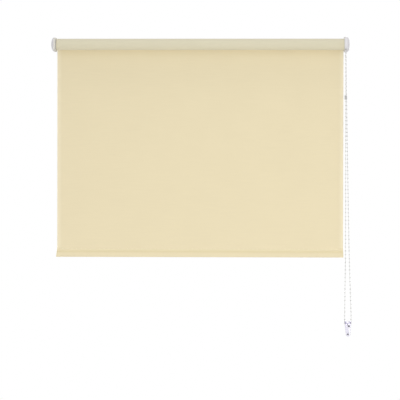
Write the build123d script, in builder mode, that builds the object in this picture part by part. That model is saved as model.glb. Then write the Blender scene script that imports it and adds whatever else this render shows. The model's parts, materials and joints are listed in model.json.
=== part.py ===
from build123d import *
import os
from math import cos, pi, sin, sqrt

# A chain-operated roller blind on a wall: two covered end brackets, a roller with its cloth,
# a weighted hem, and a bead chain that runs round a tensioner fixed below.
# Millimetres. +X is right as seen from the room, +Y goes into the wall and +Z is up.
# The origin is the middle of the four bracket holes, on the wall, level with the roller's axis.

# Cloth
cloth_width = 900.0
cloth_thickness = 0.4
turn_gap = 0.09
roll_turns = 7
tape_thickness = 0.16
tape_width = 12.0
tape_gap = 0.03
hem_drop = 668.0

# Roller
axis_to_wall = 30.0
tube_d = 28.0
tube_wall = 1.0
tube_inset = 0.5
rib_width = 2.4
rib_height = 1.5
insert_clearance = 0.15
insert_flange = 1.0
insert_length = 40.0

# Left end: bracket, cover and idler
left_gap = 2.4
left_radius = 21.8
left_band = 6.4
left_dome = 8.5
left_cover_wall = 1.8
left_cover_land = 1.4
cover_reveal = 0.4
tray_wall = 1.6
tray_web = 2.4
lip_depth = 2.4
lip_wall = 1.5
lip_clearance = 0.2
socket_boss_wall = 3.0
pin_d = 8.0
pin_reach = 5.6
pin_collar_d = 9.6
pin_collar_width = 2.0
pin_tail_d = 4.0
pin_tail_length = 12.0
pin_nose_chamfer = 0.8
pin_clearance = 0.05
idler_front_wall = 5.0
idler_end_wall = 4.0
spring_wire_d = 0.9
spring_turns = 8
spring_seat_gap = 0.1

# Right end: bracket, cover, clutch and chain wheel
right_gap = 1.0
right_radius = 23.2
right_cover_wall = 1.8
right_cover_corner = 10.0
right_cover_gap = 1.3
guard_web = 1.8
guard_lip_recess = 0.6
guard_wall = 1.7
guard_hole_clearance = 0.4
cover_fit = 0.3
wheel_width = 6.6
wheel_rim = 0.6
wheel_rim_height = 3.9
wheel_side_gap = 0.4
wheel_pockets = 8
pocket_depth = 0.6
chain_clearance = 0.4
hub_d = 20.0
hub_wall = 2.0
hub_length = 33.0
hub_clearance = 0.3
spindle_d = 12.0
spindle_flange_d = 22.0
spindle_flange = 1.5
spindle_tip = 4.25
spindle_clearance = 0.05
tenon_side = 8.0
tenon_clearance = 0.1
tenon_proud = 0.6
brake_wire_d = 1.5
brake_turns = 16
brake_clearance = 0.06
crown_end_wall = 3.0
clip_width = 1.2
clip_groove_depth = 1.0
clip_wall = 2.6
clip_gap = 0.3
clip_mouth = 7.0
clip_side_clearance = 0.05
slot_half_width = 3.4
slot_rise = 16.0

# Bracket plates and the holes for the wall screws
plate_thickness = 2.5
foot_thickness = 2.5
foot_height = 35.0
foot_reach = 25.0
screw_hole_d = 4.4
screw_hole_inset = 13.0
screw_hole_spacing = 26.0

# Hem
bar_height = 20.0
bar_thickness = 4.5
bar_corner = 1.8
bar_wall = 0.9
bar_short = 4.0
bar_shift = -1.2
bar_clearance = 0.2
plug_flange = 2.6
plug_tenon = 10.0
plug_clearance = 0.15
pocket_slope = 5.0
pocket_corner = 2.2
pocket_shoulder = 3.0
flare_left = 3.4
flare_right = 1.0
heading = 3.0
stitch_above_bar = 5.4
stitch_pitch = 3.65
stitch_length = 2.6
stitch_width = 0.5
stitch_height = 0.25

# Bead chain
bead_d = 4.5
bead_pitch = 12.0
chain_cord_d = 1.2
chain_sides = 6
joiner_length = 12.5
joiner_wall = 1.1
joiner_clearance = 0.35
joiner_edge = 0.8
joiner_drop = 167.0

# Tensioner
loop_drop = 870.0
loop_radius = 10.2
loop_from_wall = 8.0
tensioner_shift = 9.0
tensioner_plate = 3.0
tensioner_head_radius = 11.0
tensioner_foot_radius = 7.0
saddle_clearance = 0.3
saddle_depth = 9.6
saddle_wall = 3.0
saddle_rise = 1.5
lip_radius = 11.0
lip_thickness = 1.6
upper_screw_aside = 4.0
upper_screw_drop = 14.7
lower_screw_aside = 1.2
lower_screw_drop = 39.9
screw_head_d = 6.0
screw_head_height = 1.6
screw_shank_d = 3.2
screw_length = 20.0
screw_point = 3.0
screw_clearance = 0.2
recess_length = 3.4
recess_width = 0.8
recess_depth = 0.8

overrun = 2.0

# Shared places
axis_y = -axis_to_wall
roller_axis = Axis((0, axis_y, 0), (1, 0, 0))
axis_plane = Plane.XZ.offset(axis_to_wall)
cloth_half = cloth_width / 2
tube_radius = tube_d / 2
tube_bore = tube_radius - tube_wall
tube_half = cloth_half - tube_inset
turn_pitch = cloth_thickness + turn_gap
roll_radius = tube_radius + tape_thickness + cloth_thickness + roll_turns * turn_pitch
panel_back = axis_y + roll_radius
panel_mid = panel_back - cloth_thickness / 2
insert_radius = tube_bore - insert_clearance

left_face = -cloth_half - left_gap
left_rim = left_face - left_band
right_face = cloth_half + right_gap
guard_back = right_face + guard_web
wheel_in = guard_back + wheel_side_gap
wheel_out = wheel_in + wheel_width
wheel_mid = (wheel_in + wheel_out) / 2
flange_in = wheel_out + wheel_side_gap
plate_in = flange_in + spindle_flange
plate_out = plate_in + plate_thickness
right_outer = plate_out + right_cover_gap + right_cover_wall

pitch_radius = wheel_pockets * bead_pitch / (2 * pi)
bead_radius = bead_d / 2
cord_radius = chain_cord_d / 2
spindle_radius = spindle_d / 2
hub_radius = hub_d / 2

hem_bottom = -hem_drop
bar_bottom = hem_bottom + cloth_thickness + bar_clearance
bar_mid = bar_bottom + bar_height / 2
bar_top = bar_bottom + bar_height
stitch_z = bar_top + stitch_above_bar
pocket_top = stitch_z + heading
bar_half = cloth_half - bar_short

loop_x = wheel_mid + tensioner_shift
loop_y = -loop_from_wall
loop_z = -loop_drop
front_top = Vector(wheel_mid, axis_y - pitch_radius, 0)
back_top = Vector(wheel_mid, axis_y + pitch_radius, 0)
front_foot = Vector(loop_x - loop_radius, loop_y, loop_z)
back_foot = Vector(loop_x + loop_radius, loop_y, loop_z)
front_run = (front_foot - front_top).normalized()

os.makedirs("parts", exist_ok=True)


def hood_room(x):
    """Half height that the right cover leaves inside at x, less the fit."""
    corner = right_cover_corner - right_cover_wall
    past = max(0, x - (right_outer - right_cover_wall - corner))
    return right_radius - right_cover_wall - corner + sqrt(corner**2 - past**2) - cover_fit


def end_outline(x, radius, back):
    """A side outline: round about the roller's axis in front, straight to y = back behind."""
    with BuildSketch(Plane.YZ.offset(x)) as outline:
        with BuildLine():
            ThreePointArc((axis_y, radius), (axis_y - radius, 0), (axis_y, -radius))
            Polyline((axis_y, -radius), (back, -radius), (back, radius), (axis_y, radius))
        make_face()
    return outline.sketch


def turned_outline(points):
    """A closed outline of (x, radius) points, ready to turn about the roller's axis."""
    with BuildSketch(axis_plane) as outline:
        with BuildLine():
            Polyline(*points, close=True)
        make_face()
    return outline.sketch


def wrap_round(half, depth, mode=Mode.ADD):
    """Carry an upper half outline round the front, then straight towards the wall on both sides."""
    revolve(half, axis=roller_axis, revolution_arc=180, mode=mode)
    extrude(half, amount=depth, dir=(0, 1, 0), mode=mode)
    lower = mirror(half, about=Plane.XY, mode=Mode.PRIVATE)
    extrude(lower, amount=depth, dir=(0, 1, 0), mode=mode)


def key_slot(x, length):
    """Cut the slot for the tube's inner rib along an insert that starts at x."""
    top = insert_radius + overrun
    floor = tube_bore - rib_height - insert_clearance
    with BuildSketch(Plane.YZ.offset(x)) as slot:
        with Locations((axis_y, (top + floor) / 2)):
            Rectangle(rib_width + 2 * insert_clearance, top - floor)
    extrude(slot.sketch, amount=length, mode=Mode.SUBTRACT)


def wall_foot(inner, outer):
    """The bracket's foot against the wall, from x = inner to x = outer."""
    with BuildSketch(Plane.YZ.offset(inner)) as foot:
        with Locations((-foot_thickness / 2, 0)):
            Rectangle(foot_thickness, foot_height)
    extrude(foot.sketch, amount=outer - inner)


def screw_holes(x):
    """Two holes for wall screws, one above the other."""
    with BuildSketch(Plane.XZ) as holes:
        with Locations((x, 0)):
            with GridLocations(0, screw_hole_spacing, 1, 2):
                Circle(screw_hole_d / 2)
    extrude(holes.sketch, amount=foot_thickness, mode=Mode.SUBTRACT)


# Left bracket: a shallow tray with a socket for the idler pin, and a foot turned in behind the roll
tray_radius = left_radius - cover_reveal
tray_inner = tray_radius - tray_wall
socket_radius = pin_d / 2 + pin_clearance
boss_radius = socket_radius + socket_boss_wall
foot_inner = cloth_half - foot_reach
hole_x = foot_inner + screw_hole_inset

with BuildPart() as left_bracket:
    extrude(end_outline(left_rim, tray_radius, 0), amount=left_band)
    cavity = end_outline(left_rim, tray_inner, -foot_thickness)
    extrude(cavity, amount=left_band - tray_web, mode=Mode.SUBTRACT)
    wall_foot(left_rim, -foot_inner)
    with BuildSketch(Plane.YZ.offset(left_rim)) as boss:
        with Locations((axis_y, 0)):
            Circle(boss_radius)
    extrude(boss.sketch, amount=left_band)
    with BuildSketch(Plane.YZ.offset(left_rim)) as socket:
        with Locations((axis_y, 0)):
            Circle(socket_radius)
    extrude(socket.sketch, amount=left_band, mode=Mode.SUBTRACT)
    screw_holes(-hole_x)
left_bracket.part.label = "left_bracket"
export_step(left_bracket.part, "parts/left_bracket.step")


# Left cover: a domed shell whose lip sits inside the bracket's tray
def dome_half(rim, dome, radius):
    """The upper half of a dome that bulges to the left of its rim."""
    with BuildSketch(axis_plane) as half:
        with BuildLine():
            EllipticalCenterArc((rim, 0), dome, radius, start_angle=90, arc_size=90)
            Polyline((rim - dome, 0), (rim, 0), (rim, radius))
        make_face()
    return half.sketch


lip_outer = tray_inner - lip_clearance
lip_inner = lip_outer - lip_wall
inner_dome = left_dome - left_cover_land - left_cover_wall
with BuildPart() as left_cover:
    wrap_round(dome_half(left_rim, left_dome, left_radius), axis_to_wall)
    hollow = dome_half(left_rim - left_cover_land, inner_dome, left_radius - left_cover_wall)
    wrap_round(hollow, axis_to_wall + overrun, Mode.SUBTRACT)
    lip_back = -foot_thickness - lip_clearance
    extrude(end_outline(left_rim, lip_outer, lip_back), amount=lip_depth)
    mouth = end_outline(left_rim - left_cover_land, lip_inner, lip_back - lip_wall)
    extrude(mouth, amount=left_cover_land + lip_depth, mode=Mode.SUBTRACT)
left_cover.part.label = "left_cover"
export_step(left_cover.part, "parts/left_cover.step")

# Idler plug: pressed into the tube's left end, bored for the pin and its spring
collar_bore = pin_collar_d / 2 + pin_clearance
plug_end = -tube_half + insert_length
plug_face = -tube_half - insert_flange
bore_start = plug_face + idler_front_wall
bore_end = plug_end - idler_end_wall
with BuildPart() as idler_plug:
    plug_points = [
        (plug_face, socket_radius),
        (plug_face, tube_radius),
        (-tube_half, tube_radius),
        (-tube_half, insert_radius),
        (plug_end, insert_radius),
        (plug_end, 0),
        (bore_end, 0),
        (bore_end, collar_bore),
        (bore_start, collar_bore),
        (bore_start, socket_radius),
    ]
    revolve(turned_outline(plug_points), axis=roller_axis)
    key_slot(-tube_half, insert_length)
idler_plug.part.label = "idler_plug"
export_step(idler_plug.part, "parts/idler_plug.step")

# Idler pin: sprung out of the plug into the bracket's socket
pin_tip = left_face - pin_reach
collar_in = bore_start + pin_collar_width
tail_end = collar_in + pin_tail_length
with BuildPart() as idler_pin:
    pin_points = [
        (pin_tip, 0),
        (pin_tip, pin_d / 2 - pin_nose_chamfer),
        (pin_tip + pin_nose_chamfer, pin_d / 2),
        (bore_start, pin_d / 2),
        (bore_start, pin_collar_d / 2),
        (collar_in, pin_collar_d / 2),
        (collar_in, pin_tail_d / 2),
        (tail_end, pin_tail_d / 2),
        (tail_end, 0),
    ]
    revolve(turned_outline(pin_points), axis=roller_axis)
idler_pin.part.label = "idler_pin"
export_step(idler_pin.part, "parts/idler_pin.step")

# Idler spring: an open coil between the pin's collar and the end of the plug's bore
wire_radius = spring_wire_d / 2
spring_radius = (pin_tail_d / 2 + collar_bore) / 2
spring_start = collar_in + spring_seat_gap + wire_radius
spring_end = bore_end - spring_seat_gap - wire_radius
spring_height = spring_end - spring_start
with BuildPart() as idler_spring:
    with BuildLine() as coil:
        Helix(
            spring_height / spring_turns,
            spring_height,
            spring_radius,
            center=(spring_start, axis_y, 0),
            direction=(1, 0, 0),
        )
    wire_plane = Plane(coil.line @ 0, z_dir=coil.line % 0)
    with BuildSketch(wire_plane) as wire:
        Circle(wire_radius)
    sweep(wire.sketch, path=coil.line, is_frenet=True)
idler_spring.part.label = "idler_spring"
export_step(idler_spring.part, "parts/idler_spring.step")

# Roller tube with one inner rib that keys the plug and the crown
with BuildPart() as roller_tube:
    with BuildSketch(Plane.YZ) as ring:
        with Locations((axis_y, 0)):
            Circle(tube_radius)
            Circle(tube_bore, mode=Mode.SUBTRACT)
        rib_root = tube_radius - tube_wall / 2
        rib_top = tube_bore - rib_height
        with Locations((axis_y, (rib_root + rib_top) / 2)):
            Rectangle(rib_width, rib_root - rib_top)
    extrude(amount=tube_half, both=True)
roller_tube.part.label = "roller_tube"
export_step(roller_tube.part, "parts/roller_tube.step")

# Fixing tape between the tube and the cloth's inner end
tape_angle = tape_width / tube_radius * 180 / pi
tape_radius = tube_radius + tape_thickness - tape_gap
with BuildPart() as fixing_tape:
    with BuildSketch(Plane.YZ) as band:
        with BuildLine() as edges:
            outer = CenterArc((axis_y, 0), tape_radius, -tape_angle, tape_angle)
            inner = CenterArc((axis_y, 0), tube_radius + tape_gap, -tape_angle, tape_angle)
            Line(outer @ 0, inner @ 0)
            Line(outer @ 1, inner @ 1)
        make_face()
    extrude(amount=cloth_half, both=True)
fixing_tape.part.label = "fixing_tape"
export_step(fixing_tape.part, "parts/fixing_tape.step")

# Cloth on the roll: one strip wound in half turns, which leaves the roll at its back
with BuildPart() as fabric_roll:
    with BuildSketch(Plane.YZ) as strip:
        with BuildLine() as turns:
            for inset in (0, cloth_thickness):
                for half_turn in range(2 * roll_turns):
                    side = (-1) ** half_turn
                    start = roll_radius - inset - half_turn * turn_pitch / 2
                    end = start - turn_pitch / 2
                    middle = side * turn_pitch / 4
                    ThreePointArc(
                        (axis_y + side * start, 0),
                        (axis_y + middle, side * (start + end) / 2),
                        (axis_y - side * end, 0),
                    )
            Line((panel_back, 0), (panel_back - cloth_thickness, 0))
            root = axis_y + roll_radius - roll_turns * turn_pitch
            Line((root, 0), (root - cloth_thickness, 0))
        make_face()
    extrude(amount=cloth_half, both=True)
fabric_roll.part.label = "fabric_roll"
export_step(fabric_roll.part, "parts/fabric_roll.step")

# Cloth that hangs from the back of the roll down to the hem
with BuildPart() as fabric_panel:
    with BuildSketch(Plane.YZ):
        with Locations((panel_mid, pocket_top / 2)):
            Rectangle(cloth_thickness, -pocket_top)
    extrude(amount=cloth_half, both=True)
fabric_panel.part.label = "fabric_panel"
export_step(fabric_panel.part, "parts/fabric_panel.step")

# Hem pocket: the cloth folded back on itself round the bar and sewn above it, a little wider at the fold
pocket_half = bar_thickness / 2 + bar_clearance + cloth_thickness
bag_half = bar_thickness / 2 + bar_clearance
slope_foot = bar_top + bar_clearance - cloth_thickness
slope_head = slope_foot + pocket_slope
with BuildPart() as hem_pocket:
    with BuildSketch(Plane.YZ) as pocket:
        with BuildLine():
            Polyline(
                (panel_mid - cloth_thickness, pocket_top),
                (panel_mid - cloth_thickness, slope_head),
                (panel_mid - pocket_half, slope_foot),
                (panel_mid - pocket_half, hem_bottom),
                (panel_mid + pocket_half, hem_bottom),
                (panel_mid + pocket_half, slope_foot),
                (panel_mid + cloth_thickness, slope_head),
                (panel_mid + cloth_thickness, pocket_top),
                close=True,
            )
        make_face()
        levels = pocket.vertices().group_by(Axis.Y)
        fillet(levels[0], radius=pocket_corner)
        shoulders = pocket.vertices().filter_by_position(Axis.Y, slope_foot, slope_foot)
        fillet(shoulders, radius=pocket_shoulder)
    extrude(amount=cloth_half + max(flare_left, flare_right), both=True)
    with BuildSketch(Plane.YZ) as bag:
        with BuildLine():
            Polyline(
                (panel_mid, slope_head - cloth_thickness),
                (panel_mid - bag_half, slope_foot - cloth_thickness),
                (panel_mid - bag_half, hem_bottom + cloth_thickness),
                (panel_mid + bag_half, hem_bottom + cloth_thickness),
                (panel_mid + bag_half, slope_foot - cloth_thickness),
                close=True,
            )
        make_face()
        fillet(bag.vertices().group_by(Axis.Y)[0], radius=pocket_corner - cloth_thickness)
    extrude(amount=cloth_half + overrun + max(flare_left, flare_right), both=True, mode=Mode.SUBTRACT)
    with BuildSketch(Plane.XZ) as spread:
        with BuildLine():
            Polyline(
                (-cloth_half, pocket_top),
                (-cloth_half, stitch_z),
                (-cloth_half - flare_left, hem_bottom),
                (cloth_half + flare_right, hem_bottom),
                (cloth_half, stitch_z),
                (cloth_half, pocket_top),
                close=True,
            )
        make_face()
    extrude(spread.sketch, amount=axis_to_wall, mode=Mode.INTERSECT)
hem_pocket.part.label = "hem_pocket"
export_step(hem_pocket.part, "parts/hem_pocket.step")

# Hem bar: a flat hollow bar that lies in the pocket, a little to the left
with BuildPart() as hem_bar:
    with BuildSketch(Plane.YZ.offset(bar_shift)):
        with Locations((panel_mid, bar_mid)):
            RectangleRounded(bar_thickness, bar_height, bar_corner)
            inner_size = (bar_thickness - 2 * bar_wall, bar_height - 2 * bar_wall)
            RectangleRounded(*inner_size, bar_corner - bar_wall, mode=Mode.SUBTRACT)
    extrude(amount=bar_half, both=True)
hem_bar.part.label = "hem_bar"
export_step(hem_bar.part, "parts/hem_bar.step")


# Hem plugs: end caps with a tenon inside the bar
def hem_plug(name, side):
    """One end cap of the hem bar, on the left (side -1) or the right (side 1)."""
    face = bar_shift + side * bar_half
    slack = 2 * (bar_wall + plug_clearance)
    tenon_corner = bar_corner - bar_wall - plug_clearance
    with BuildPart() as plug:
        with BuildSketch(Plane.YZ.offset(face)) as cap:
            with Locations((panel_mid, bar_mid)):
                RectangleRounded(bar_thickness, bar_height, bar_corner)
        extrude(cap.sketch, amount=side * plug_flange)
        with BuildSketch(Plane.YZ.offset(face)) as tenon:
            with Locations((panel_mid, bar_mid)):
                RectangleRounded(bar_thickness - slack, bar_height - slack, tenon_corner)
        extrude(tenon.sketch, amount=-side * plug_tenon)
    plug.part.label = name
    export_step(plug.part, f"parts/{name}.step")


hem_plug("hem_plug_left", -1)
hem_plug("hem_plug_right", 1)

# Hem stitching: single stitches on the front, and the under thread straight along the back
stitch_count = int(cloth_width / stitch_pitch)
seam_front = panel_mid - cloth_thickness - stitch_height / 2
seam_back = panel_mid + cloth_thickness + stitch_height / 2
seam_length = (stitch_count - 1) * stitch_pitch + stitch_length
with BuildPart() as hem_stitching:
    with Locations((0, seam_front, stitch_z)):
        with GridLocations(stitch_pitch, 0, stitch_count, 1):
            Box(stitch_length, stitch_height, stitch_width)
    with Locations((0, seam_back, stitch_z)):
        Box(seam_length, stitch_height, stitch_width)
hem_stitching.part.label = "hem_stitching"
export_step(hem_stitching.part, "parts/hem_stitching.step")

# Right bracket: a side plate with a square seat for the spindle, and a foot turned in behind the roll
plate_radius = hood_room(plate_out)
with BuildPart() as right_bracket:
    extrude(end_outline(plate_in, plate_radius, 0), amount=plate_thickness)
    wall_foot(foot_inner, plate_out)
    with BuildSketch(Plane.YZ.offset(plate_in)) as seat:
        with Locations((axis_y, 0)):
            Rectangle(tenon_side + 2 * tenon_clearance, tenon_side + 2 * tenon_clearance)
    extrude(seat.sketch, amount=plate_thickness, mode=Mode.SUBTRACT)
    screw_holes(hole_x)
right_bracket.part.label = "right_bracket"
export_step(right_bracket.part, "parts/right_bracket.step")


# The two places at the bottom of the drive where the chain passes
def chain_slots():
    """Cut a slot below the wheel for each strand, open towards the roll."""
    for strand in (front_top, back_top):
        with BuildSketch(Plane.XY.offset(-right_radius - overrun)) as slot:
            with Locations(((guard_back + flange_in) / 2, strand.Y)):
                Rectangle(flange_in - guard_back, 2 * slot_half_width)
        extrude(slot.sketch, amount=slot_rise, mode=Mode.SUBTRACT)


# Chain guard: a web beside the roll, whose rim runs out to the bracket's plate round the wheel
guard_foot = -foot_thickness - cover_fit
guard_radius = right_radius - guard_lip_recess
guard_rim = hood_room(plate_in)
with BuildPart() as chain_guard:
    extrude(end_outline(right_face, guard_radius, guard_foot), amount=guard_web)
    extrude(end_outline(guard_back, guard_rim, guard_foot), amount=plate_in - guard_back)
    room = end_outline(guard_back, guard_rim - guard_wall, guard_foot - guard_wall)
    extrude(room, amount=plate_in - guard_back, mode=Mode.SUBTRACT)
    with BuildSketch(Plane.YZ.offset(right_face)) as eye:
        with Locations((axis_y, 0)):
            Circle(hub_radius + guard_hole_clearance)
    extrude(eye.sketch, amount=guard_web, mode=Mode.SUBTRACT)
    chain_slots()
chain_guard.part.label = "chain_guard"
export_step(chain_guard.part, "parts/chain_guard.step")


# Right cover: a deep shell with rounded corners, open towards the roll and the wall
def hood_half(rim, outer, radius, corner):
    """The upper half of a hood from its rim to its rounded outer corner."""
    with BuildSketch(axis_plane) as half:
        with BuildLine():
            Polyline((outer, 0), (rim, 0), (rim, radius), (outer - corner, radius))
            CenterArc((outer - corner, radius - corner), corner, 0, 90)
            Line((outer, radius - corner), (outer, 0))
        make_face()
    return half.sketch


with BuildPart() as right_cover:
    hood = hood_half(guard_back + lip_clearance, right_outer, right_radius, right_cover_corner)
    wrap_round(hood, axis_to_wall)
    inside = hood_half(
        guard_back,
        right_outer - right_cover_wall,
        right_radius - right_cover_wall,
        right_cover_corner - right_cover_wall,
    )
    wrap_round(inside, axis_to_wall + overrun, Mode.SUBTRACT)
    chain_slots()
right_cover.part.label = "right_cover"
export_step(right_cover.part, "parts/right_cover.step")

# Clutch spindle: fixed in the bracket, it carries the wheel, the brake spring and the crown
crown_end = tube_half - insert_length
clip_out = crown_end - clip_gap
clip_in = clip_out - clip_width
groove_in = clip_in - clip_side_clearance
groove_out = clip_out + clip_side_clearance
groove_radius = spindle_radius - clip_groove_depth
spindle_end = groove_in - spindle_tip
with BuildPart() as clutch_spindle:
    spindle_points = [
        (spindle_end, 0),
        (spindle_end, spindle_radius),
        (groove_in, spindle_radius),
        (groove_in, groove_radius),
        (groove_out, groove_radius),
        (groove_out, spindle_radius),
        (flange_in, spindle_radius),
        (flange_in, spindle_flange_d / 2),
        (plate_in, spindle_flange_d / 2),
        (plate_in, 0),
    ]
    revolve(turned_outline(spindle_points), axis=roller_axis)
    with BuildSketch(Plane.YZ.offset(plate_in)) as tenon:
        with Locations((axis_y, 0)):
            Rectangle(tenon_side, tenon_side)
    extrude(tenon.sketch, amount=plate_thickness + tenon_proud)
clutch_spindle.part.label = "clutch_spindle"
export_step(clutch_spindle.part, "parts/clutch_spindle.step")

# Spindle clip: an open ring in the groove that keeps the crown on
with BuildPart() as spindle_clip:
    with BuildSketch(Plane.YZ.offset(clip_in)):
        with Locations((axis_y, 0)):
            Circle(groove_radius + clip_wall)
            Circle(groove_radius + clip_side_clearance, mode=Mode.SUBTRACT)
        with Locations((axis_y, -groove_radius - clip_wall / 2)):
            Rectangle(clip_mouth, clip_wall + groove_radius, mode=Mode.SUBTRACT)
    extrude(amount=clip_width)
spindle_clip.part.label = "spindle_clip"
export_step(spindle_clip.part, "parts/spindle_clip.step")

# Brake spring: close-wound wire that grips the spindle
brake_bore = spindle_radius + brake_clearance
brake_start = wheel_in - brake_turns * brake_wire_d
with BuildPart() as brake_spring:
    with BuildSketch(axis_plane) as coils:
        with BuildLine():
            crest = brake_bore + brake_wire_d
            valley = brake_bore + brake_wire_d / 2
            for turn in range(brake_turns):
                left = brake_start + turn * brake_wire_d
                right = left + brake_wire_d
                ThreePointArc((left, valley), ((left + right) / 2, crest), (right, valley))
            Polyline((brake_start, valley), (brake_start, brake_bore))
            Polyline((brake_start, brake_bore), (wheel_in, brake_bore), (wheel_in, valley))
        make_face()
    revolve(axis=roller_axis)
brake_spring.part.label = "brake_spring"
export_step(brake_spring.part, "parts/brake_spring.step")

# Chain wheel: two rims beside the beads, shallow pockets between them, and a hub inside the crown
wheel_bore = spindle_radius + spindle_clearance
hub_end = wheel_in - hub_length
hub_bore = hub_radius - hub_wall
wheel_floor = pitch_radius - bead_radius - chain_clearance
rim_radius = wheel_floor + wheel_rim_height
pocket_radius = pitch_radius - wheel_floor + pocket_depth
with BuildPart() as chain_wheel:
    wheel_points = [
        (hub_end, hub_bore),
        (hub_end, hub_radius),
        (wheel_in, hub_radius),
        (wheel_in, rim_radius),
        (wheel_in + wheel_rim, rim_radius),
        (wheel_in + wheel_rim, wheel_floor),
        (wheel_out - wheel_rim, wheel_floor),
        (wheel_out - wheel_rim, rim_radius),
        (wheel_out, rim_radius),
        (wheel_out, wheel_bore),
        (wheel_in, wheel_bore),
        (wheel_in, hub_bore),
    ]
    revolve(turned_outline(wheel_points), axis=roller_axis)
    first_pocket = 180 / wheel_pockets
    with BuildSketch(Plane.YZ.offset(wheel_mid)) as pockets:
        with Locations((axis_y, 0)):
            with PolarLocations(pitch_radius, wheel_pockets, start_angle=first_pocket):
                Circle(pocket_radius)
    extrude(pockets.sketch, amount=wheel_width / 2 - wheel_rim, both=True, mode=Mode.SUBTRACT)
chain_wheel.part.label = "chain_wheel"
export_step(chain_wheel.part, "parts/chain_wheel.step")

# Tube crown: turns on the spindle and carries the tube's right end
crown_bore = hub_radius + hub_clearance
with BuildPart() as tube_crown:
    crown_points = [
        (crown_end, wheel_bore),
        (crown_end, insert_radius),
        (tube_half, insert_radius),
        (tube_half, tube_radius),
        (tube_half + insert_flange, tube_radius),
        (tube_half + insert_flange, crown_bore),
        (crown_end + crown_end_wall, crown_bore),
        (crown_end + crown_end_wall, wheel_bore),
    ]
    revolve(turned_outline(crown_points), axis=roller_axis)
    key_slot(crown_end, insert_length)
tube_crown.part.label = "tube_crown"
export_step(tube_crown.part, "parts/tube_crown.step")


# Bead chain: six-sided beads on a cord, down in front, round the tensioner, up behind and over the wheel
def chain_section(place, run, across, radius, turn=0):
    """One section of the chain, square to its run, with a corner at this turn from across."""
    with BuildSketch(Plane(place, x_dir=across, z_dir=run)) as section:
        RegularPolygon(radius, chain_sides, rotation=turn)
    return section.sketch


def bead_profile(length):
    """Distance and radius of each section along a stretch that holds a whole number of beads."""
    beads = max(1, round(length / bead_pitch))
    profile = []
    for bead in range(beads):
        middle = (bead + 1 / 2) * length / beads
        profile.append((middle - bead_radius, cord_radius))
        profile.append((middle, bead_radius))
        profile.append((middle + bead_radius, cord_radius))
    return profile


def straight_strand(start, end, across, level):
    """A straight stretch of chain, cut level at both ends so that it meets the bends face to face."""
    run = (end - start).normalized()
    sections = [chain_section(start, level, across, cord_radius)]
    for distance, radius in bead_profile((end - start).length):
        sections.append(chain_section(start + run * distance, run, across, radius))
    sections.append(chain_section(end, level, across, cord_radius))
    loft(sections, ruled=True)


def half_bend(centre, radius, first, second, across, turn):
    """A half turn of chain that starts at centre + first and leaves along second."""
    sections = [chain_section(centre + first * radius, second, across, cord_radius, turn)]
    for distance, size in bead_profile(pi * radius):
        angle = distance / radius
        place = centre + first * (radius * cos(angle)) + second * (radius * sin(angle))
        run = second * cos(angle) - first * sin(angle)
        sections.append(chain_section(place, run, across, size, turn))
    sections.append(chain_section(centre - first * radius, -second, across, cord_radius, turn))
    loft(sections, ruled=True)


with BuildPart() as bead_chain:
    right, inward, up = Vector(1, 0, 0), Vector(0, 1, 0), Vector(0, 0, 1)
    quarter_turn = 180 / chain_sides
    saddle_centre = Vector(loop_x, loop_y, loop_z)
    wheel_centre = Vector(wheel_mid, axis_y, 0)
    straight_strand(front_top, front_foot, right, -up)
    half_bend(saddle_centre, loop_radius, -right, -up, inward, quarter_turn)
    straight_strand(back_foot, back_top, right, up)
    half_bend(wheel_centre, pitch_radius, inward, up, right, 0)
bead_chain.part.label = "bead_chain"
export_step(bead_chain.part, "parts/bead_chain.step")

# Chain joiner: a sleeve that closes the chain into a loop, on the front strand
joiner_bore = bead_radius + joiner_clearance
joiner_mid = front_top + front_run * joiner_drop
joiner_start = joiner_mid - front_run * (joiner_length / 2)
with BuildPart() as chain_joiner:
    with BuildSketch(Plane(joiner_start, x_dir=(1, 0, 0), z_dir=front_run)) as sleeve:
        Circle(joiner_bore + joiner_wall)
    extrude(sleeve.sketch, amount=joiner_length)
    rims = chain_joiner.edges().filter_by(GeomType.CIRCLE)
    fillet(rims, radius=joiner_edge)
    with BuildSketch(Plane(joiner_start, x_dir=(1, 0, 0), z_dir=front_run)) as bore:
        Circle(joiner_bore)
    extrude(bore.sketch, amount=joiner_length, mode=Mode.SUBTRACT)
chain_joiner.part.label = "chain_joiner"
export_step(chain_joiner.part, "parts/chain_joiner.step")

# Tensioner: a plate on the wall with a half round saddle for the chain and a lip that keeps it on
saddle_radius = loop_radius - bead_radius - saddle_clearance
upper_screw = (loop_x + upper_screw_aside, loop_z - upper_screw_drop)
lower_screw = (loop_x + lower_screw_aside, loop_z - lower_screw_drop)
tensioner_screw_places = [upper_screw, lower_screw]
saddle_front = tensioner_plate + saddle_depth


def cut_above():
    """Takes away what a sketch has above the saddle's ends."""
    with Locations((loop_x, loop_z + saddle_rise + lip_radius)):
        Rectangle(2 * (lip_radius + overrun), 2 * lip_radius, mode=Mode.SUBTRACT)


with BuildPart() as tensioner_body:
    with BuildSketch(Plane.XZ) as plate:
        with Locations((loop_x, loop_z)):
            Circle(tensioner_head_radius)
        with Locations(lower_screw):
            Circle(tensioner_foot_radius)
        make_hull(plate.edges())
        cut_above()
    extrude(amount=tensioner_plate)
    with BuildSketch(Plane.XZ.offset(tensioner_plate)) as saddle:
        with Locations((loop_x, loop_z)):
            Circle(saddle_radius)
            Circle(saddle_radius - saddle_wall, mode=Mode.SUBTRACT)
        cut_above()
    extrude(saddle.sketch, amount=saddle_depth)
    with BuildSketch(Plane.XZ.offset(saddle_front)) as lip:
        with Locations((loop_x, loop_z)):
            Circle(lip_radius)
            Circle(saddle_radius - saddle_wall, mode=Mode.SUBTRACT)
        cut_above()
    extrude(lip.sketch, amount=lip_thickness)
    with BuildSketch(Plane.XZ) as shank_holes:
        with Locations(tensioner_screw_places):
            Circle(screw_shank_d / 2 + screw_clearance)
    extrude(shank_holes.sketch, amount=tensioner_plate, mode=Mode.SUBTRACT)
tensioner_body.part.label = "tensioner_body"
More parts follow.
